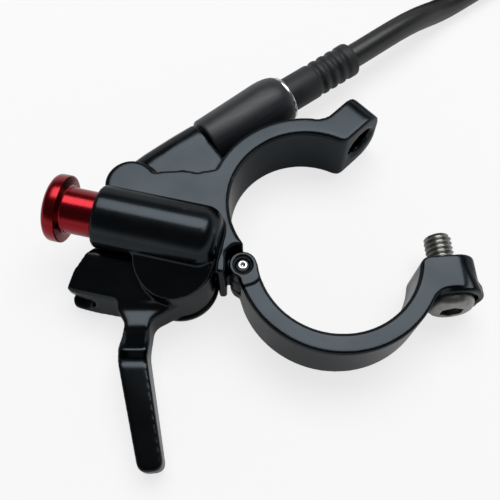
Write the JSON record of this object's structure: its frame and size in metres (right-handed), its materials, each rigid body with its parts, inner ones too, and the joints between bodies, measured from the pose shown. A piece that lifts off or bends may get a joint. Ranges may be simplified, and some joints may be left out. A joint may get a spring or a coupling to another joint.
{
  "type": "dropper post remote lever",
  "caption": "Handlebar remote with hinged clamp, thumb lever, spring button and barrel adjuster, pulling a sheathed cable.",
  "frame": {"origin": "on the bar's axis, in the plane of the clamp's far face, on which the part lies", "axes": "+Z along the bar, from the clamp's far face to the side that faces the rider; +X away from the lever, across the bar; +Y towards the cable"},
  "size_m": [0.0934, 0.1439, 0.0162],
  "materials": {
    "black_alloy": "glossy black anodised forging",
    "red_alloy": "red anodised, turned",
    "bright_alloy": "bright turned",
    "steel": "bright stainless",
    "zinc_steel": "zinc plated",
    "black_steel": "black oxide",
    "bearing_plastic": "moulded bearing plastic",
    "adjuster_black": "satin black",
    "boot_rubber": "satin black",
    "housing_black": "semi-gloss black"
  },
  "bodies": {
    "body": {"lever_body": "black_alloy", "hinge_pin": "steel", "pivot_bolt": "black_steel", "return_spring": "steel", "inner_wire": "steel", "cable_guide": "bearing_plastic", "button_spring": "steel", "stop_pin": "steel", "housing_ferrule": "bright_alloy", "ferrule_boot": "boot_rubber", "cable_housing": "housing_black", "cable_coil": "housing_black", "end_ferrule": "bright_alloy", "wire_tail": "steel", "wire_tip": "bright_alloy"},
    "strap": {"clamp_strap": "black_alloy"},
    "bolt": {"clamp_bolt": "zinc_steel"},
    "lever": {"lever_blade": "black_alloy", "pivot_bushing_upper": "bearing_plastic", "pivot_bushing_lower": "bearing_plastic", "cable_nipple": "zinc_steel"},
    "button": {"release_button": "red_alloy", "button_stem": "steel"},
    "adjuster": {"barrel_adjuster": "adjuster_black", "adjuster_ring": "bright_alloy", "adjuster_screw": "black_steel"}
  },
  "joints": [
    {"name": "strap_hinge", "type": "hinge", "parent": "body", "child": "strap", "pos_m": [-0.00913, -0.00946, 0.005], "axis": [0, 0, 1], "range_deg": [0, 40]},
    {"name": "bolt_turn", "type": "hinge", "parent": "strap", "child": "bolt", "pos_m": [0.01921, -0.00702, 0.005], "axis": [-0.0698, 0.9976, 0], "continuous": true},
    {"name": "lever_pivot", "type": "hinge", "parent": "body", "child": "lever", "pos_m": [-0.0183, -0.0091, 0.005], "axis": [0, 0, 1], "range_deg": [0, 20], "stiffness_Nm_per_rad": 0.08, "springref_deg": -20.05, "deforming": ["inner_wire"]},
    {"name": "button_slide", "type": "slide", "parent": "body", "child": "button", "axis": [0.9751, -0.2215, 0], "range_m": [0, 0.0025], "stiffness_N_per_m": 600, "springref_m": -0.003, "deforming": ["button_spring"]},
    {"name": "adjuster_turn", "type": "hinge", "parent": "body", "child": "adjuster", "pos_m": [-0.01097, 0.01533, 0.0049], "axis": [0.8131, 0.5821, 0], "continuous": true}
  ]
}
